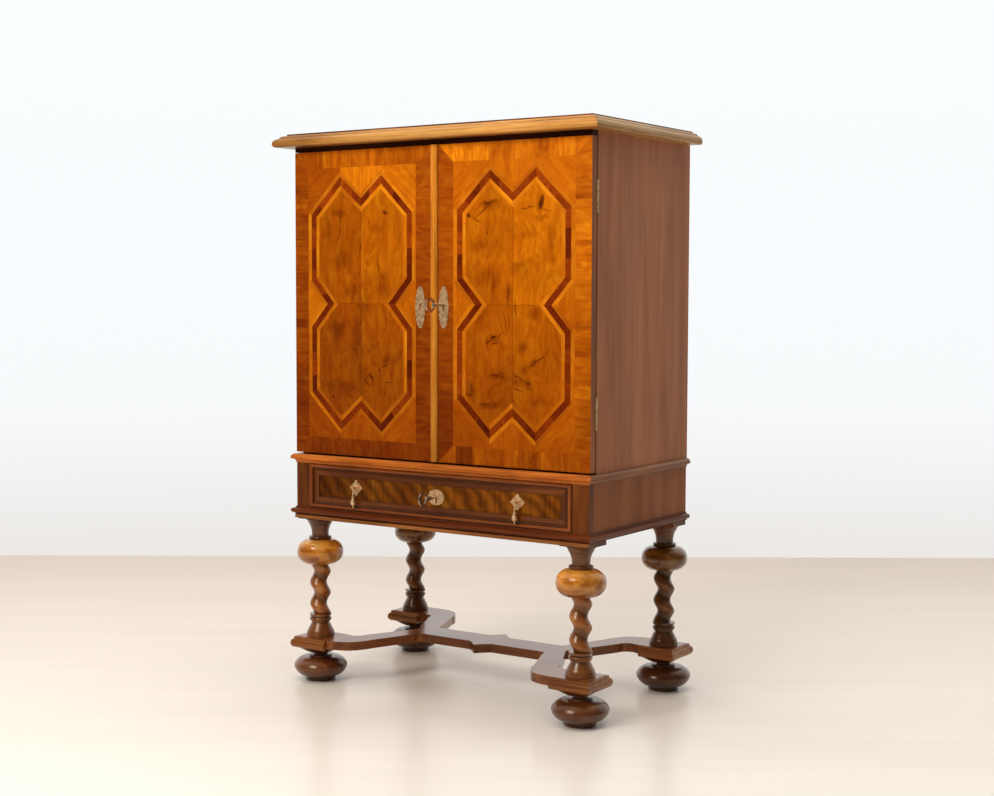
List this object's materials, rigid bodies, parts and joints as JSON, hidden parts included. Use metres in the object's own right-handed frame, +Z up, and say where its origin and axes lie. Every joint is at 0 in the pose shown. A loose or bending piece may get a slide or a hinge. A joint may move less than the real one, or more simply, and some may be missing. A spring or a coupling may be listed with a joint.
{
  "type": "bar cabinet",
  "caption": "Two-door bar cabinet in veneered wood on a stand with a drawer, barley-twist legs, a shaped flat stretcher and bun feet.",
  "frame": {"origin": "on the floor under the middle of the object's outer box", "axes": "+Z up, -Y to the front where the doors are, +X to the right as seen from the front"},
  "size_m": [0.946, 0.583, 1.39],
  "materials": {
    "walnut": "gloss",
    "veneer": "gloss",
    "honey_wood": "gloss",
    "inner_wood": "satin",
    "aged_brass": "aged",
    "old_steel": "aged"
  },
  "bodies": {
    "cabinet": {"back_left_bun_foot": "walnut", "back_left_twist_leg": "walnut", "back_right_bun_foot": "walnut", "back_right_twist_leg": "walnut", "base_moulding": "walnut", "case_back": "inner_wood", "case_bottom": "inner_wood", "case_hinge_leaves": "aged_brass", "case_left_side": "walnut", "case_right_side": "walnut", "corner_blocks": "walnut", "corner_mouldings": "walnut", "drawer_runners": "inner_wood", "frieze_rail": "walnut", "front_left_bun_foot": "walnut", "front_left_twist_leg": "walnut", "front_right_bun_foot": "walnut", "front_right_twist_leg": "walnut", "leg_balls": "honey_wood", "leg_collars": "walnut", "leg_pads": "walnut", "lower_shelf": "inner_wood", "shelf_bearers": "inner_wood", "stand_back": "inner_wood", "stand_bottom_rail": "walnut", "stand_front_stiles": "walnut", "stand_left_side": "walnut", "stand_right_side": "walnut", "stand_top_rail": "walnut", "stretcher_centre": "walnut", "stretcher_left_end": "walnut", "stretcher_right_end": "walnut", "top_board": "walnut", "top_moulding": "walnut", "upper_shelf": "inner_wood", "waist_moulding": "walnut"},
    "left_door": {"left_door": "veneer", "door_astragal": "honey_wood", "left_escutcheon": "aged_brass", "left_door_hinge_leaves": "aged_brass"},
    "right_door": {"right_door": "veneer", "right_escutcheon": "aged_brass", "door_lock": "old_steel", "right_door_hinge_leaves": "aged_brass"},
    "door_key": {"door_key": "old_steel"},
    "door_lock_bolt": {"door_lock_bolt": "old_steel"},
    "left_door_upper_bolt": {"left_door_upper_bolt": "aged_brass"},
    "left_door_lower_bolt": {"left_door_lower_bolt": "aged_brass"},
    "drawer": {"drawer_front": "veneer", "drawer_sides": "inner_wood", "drawer_back": "inner_wood", "drawer_bottom": "inner_wood", "drawer_moulding": "walnut", "drawer_lock": "old_steel", "drawer_escutcheon": "aged_brass", "handle_plates": "aged_brass"},
    "drawer_key": {"drawer_key": "old_steel"},
    "drawer_lock_bolt": {"drawer_lock_bolt": "old_steel"},
    "left_drop_handle": {"left_drop_handle": "aged_brass"},
    "right_drop_handle": {"right_drop_handle": "aged_brass"}
  },
  "joints": [
    {"name": "left_door_hinge", "type": "hinge", "parent": "cabinet", "child": "left_door", "pos_m": [-0.436, -0.1967, 0.966], "axis": [0, 0, -1], "range_deg": [0, 175]},
    {"name": "right_door_hinge", "type": "hinge", "parent": "cabinet", "child": "right_door", "pos_m": [0.436, -0.1967, 0.966], "axis": [0, 0, 1], "range_deg": [0, 175]},
    {"name": "door_key_turn", "type": "hinge", "parent": "right_door", "child": "door_key", "pos_m": [0.028, -0.2245, 0.965], "axis": [0, 1, 0], "range_deg": [0, 180]},
    {"name": "door_bolt_slide", "type": "slide", "parent": "right_door", "child": "door_lock_bolt", "axis": [-1, 0, 0], "range_m": [0, 0.008]},
    {"name": "upper_flush_bolt_slide", "type": "slide", "parent": "left_door", "child": "left_door_upper_bolt", "axis": [0, 0, 1], "range_m": [0, 0.009]},
    {"name": "lower_flush_bolt_slide", "type": "slide", "parent": "left_door", "child": "left_door_lower_bolt", "axis": [0, 0, -1], "range_m": [0, 0.009]},
    {"name": "drawer_slide", "type": "slide", "parent": "cabinet", "child": "drawer", "axis": [0, -1, 0], "range_m": [0, 0.34]},
    {"name": "drawer_key_turn", "type": "hinge", "parent": "drawer", "child": "drawer_key", "pos_m": [0.007, -0.2245, 0.50325], "axis": [0, 1, 0], "range_deg": [0, 180]},
    {"name": "drawer_bolt_slide", "type": "slide", "parent": "drawer", "child": "drawer_lock_bolt", "axis": [0, 0, 1], "range_m": [0, 0.008]},
    {"name": "left_drop_hinge", "type": "hinge", "parent": "drawer", "child": "left_drop_handle", "pos_m": [-0.24, -0.233, 0.50875], "axis": [-1, 0, 0], "range_deg": [0, 80]},
    {"name": "right_drop_hinge", "type": "hinge", "parent": "drawer", "child": "right_drop_handle", "pos_m": [0.24, -0.233, 0.50875], "axis": [-1, 0, 0], "range_deg": [0, 80]}
  ],
  "couplings": [
    {"joint": "door_bolt_slide", "follows": "door_key_turn", "m_per_rad": 0.0025439},
    {"joint": "drawer_bolt_slide", "follows": "drawer_key_turn", "m_per_rad": 0.0025439}
  ]
}
